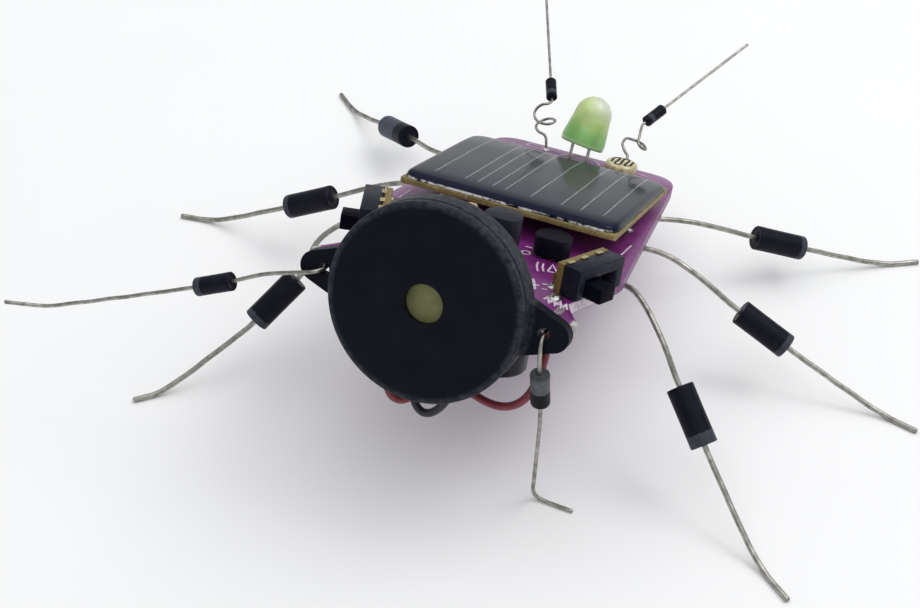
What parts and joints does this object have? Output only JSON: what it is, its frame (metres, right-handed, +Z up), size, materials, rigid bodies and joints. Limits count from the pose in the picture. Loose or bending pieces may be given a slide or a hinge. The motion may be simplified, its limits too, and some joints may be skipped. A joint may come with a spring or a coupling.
{
  "type": "solar robot bug kit",
  "caption": "Solar powered bug robot: a sloping circuit board with a solar panel, a round buzzer head, an LED tail and slide switches, standing on bent diode legs.",
  "frame": {"origin": "centre of the whole kit, on the surface that its feet stand on", "axes": "+X to the right seen from the head, +Y towards the tail and antennae, +Z up"},
  "size_m": [0.1094, 0.0884, 0.0402],
  "materials": {
    "circuit_board": "purple solder mask over fibreglass, satin gloss",
    "panel_substrate": "bare speckled fibreglass edge, matt",
    "cell_resin": "clear resin over dark cells, glossy",
    "foam_tape": "black foam tape, matt",
    "buzzer_plastic": "moulded black plastic, satin",
    "brass": "plain brass, satin",
    "ceramic": "fired ceramic, matt",
    "red_insulation": "soft red insulation, satin",
    "black_insulation": "soft black insulation, satin",
    "green_epoxy": "translucent green epoxy, glossy",
    "sensor_ceramic": "clear coated ceramic with a dark track, glossy",
    "switch_shell": "dark slate shell, satin",
    "phenolic": "brown phenolic board, matt",
    "switch_knob": "moulded black plastic, matt",
    "capacitor_sleeve": "black shrink sleeve, satin",
    "transistor_plastic": "moulded epoxy, matt",
    "resistor_lacquer": "tan lacquer with coloured bands, satin",
    "diode_body": "moulded epoxy, satin, with a grey end band",
    "tinned_wire": "tinned copper wire, satin"
  },
  "bodies": {
    "kit": {"buzzer_back_cover": "buzzer_plastic", "buzzer_brass_disc": "brass", "buzzer_case": "buzzer_plastic", "buzzer_ceramic_disc": "ceramic", "buzzer_wire_black": "black_insulation", "buzzer_wire_red": "red_insulation", "circuit_board": "circuit_board", "front_transistor": "transistor_plastic", "led_anode_wire": "tinned_wire", "led_cathode_wire": "tinned_wire", "led_lens": "green_epoxy", "left_antenna_diode": "diode_body", "left_antenna_inner_wire": "tinned_wire", "left_antenna_outer_wire": "tinned_wire", "left_front_leg_diode": "diode_body", "left_front_leg_inner_wire": "tinned_wire", "left_front_leg_outer_wire": "tinned_wire", "left_middle_leg_diode": "diode_body", "left_middle_leg_inner_wire": "tinned_wire", "left_middle_leg_outer_wire": "tinned_wire", "left_rear_leg_diode": "diode_body", "left_rear_leg_inner_wire": "tinned_wire", "left_rear_leg_outer_wire": "tinned_wire", "left_small_leg_diode": "diode_body", "left_small_leg_inner_wire": "tinned_wire", "left_small_leg_outer_wire": "tinned_wire", "light_sensor": "sensor_ceramic", "light_sensor_wire_a": "tinned_wire", "light_sensor_wire_b": "tinned_wire", "resistor": "resistor_lacquer", "right_antenna_diode": "diode_body", "right_antenna_inner_wire": "tinned_wire", "right_antenna_outer_wire": "tinned_wire", "right_front_leg_diode": "diode_body", "right_front_leg_inner_wire": "tinned_wire", "right_front_leg_outer_wire": "tinned_wire", "right_middle_leg_diode": "diode_body", "right_middle_leg_inner_wire": "tinned_wire", "right_middle_leg_outer_wire": "tinned_wire", "right_rear_leg_diode": "diode_body", "right_rear_leg_inner_wire": "tinned_wire", "right_rear_leg_outer_wire": "tinned_wire", "right_small_leg_diode": "diode_body", "right_small_leg_inner_wire": "tinned_wire", "right_small_leg_outer_wire": "tinned_wire", "side_transistor": "transistor_plastic", "solar_cell_resin": "cell_resin", "solar_panel_base": "panel_substrate", "solar_panel_pad": "foam_tape", "solar_wire_left": "tinned_wire", "solar_wire_right": "tinned_wire", "storage_capacitor": "capacitor_sleeve", "switch_left_contact_base": "phenolic", "switch_left_housing": "switch_shell", "switch_right_contact_base": "phenolic", "switch_right_housing": "switch_shell"},
    "left_slider": {"switch_left_slider": "switch_knob"},
    "right_slider": {"switch_right_slider": "switch_knob"}
  },
  "joints": [
    {"name": "left_switch_slide", "type": "slide", "parent": "kit", "child": "left_slider", "axis": [-0.342, 0.8917, -0.2966], "range_m": [0, 0.003]},
    {"name": "right_switch_slide", "type": "slide", "parent": "kit", "child": "right_slider", "axis": [0.342, 0.8917, -0.2966], "range_m": [0, 0.003]}
  ]
}
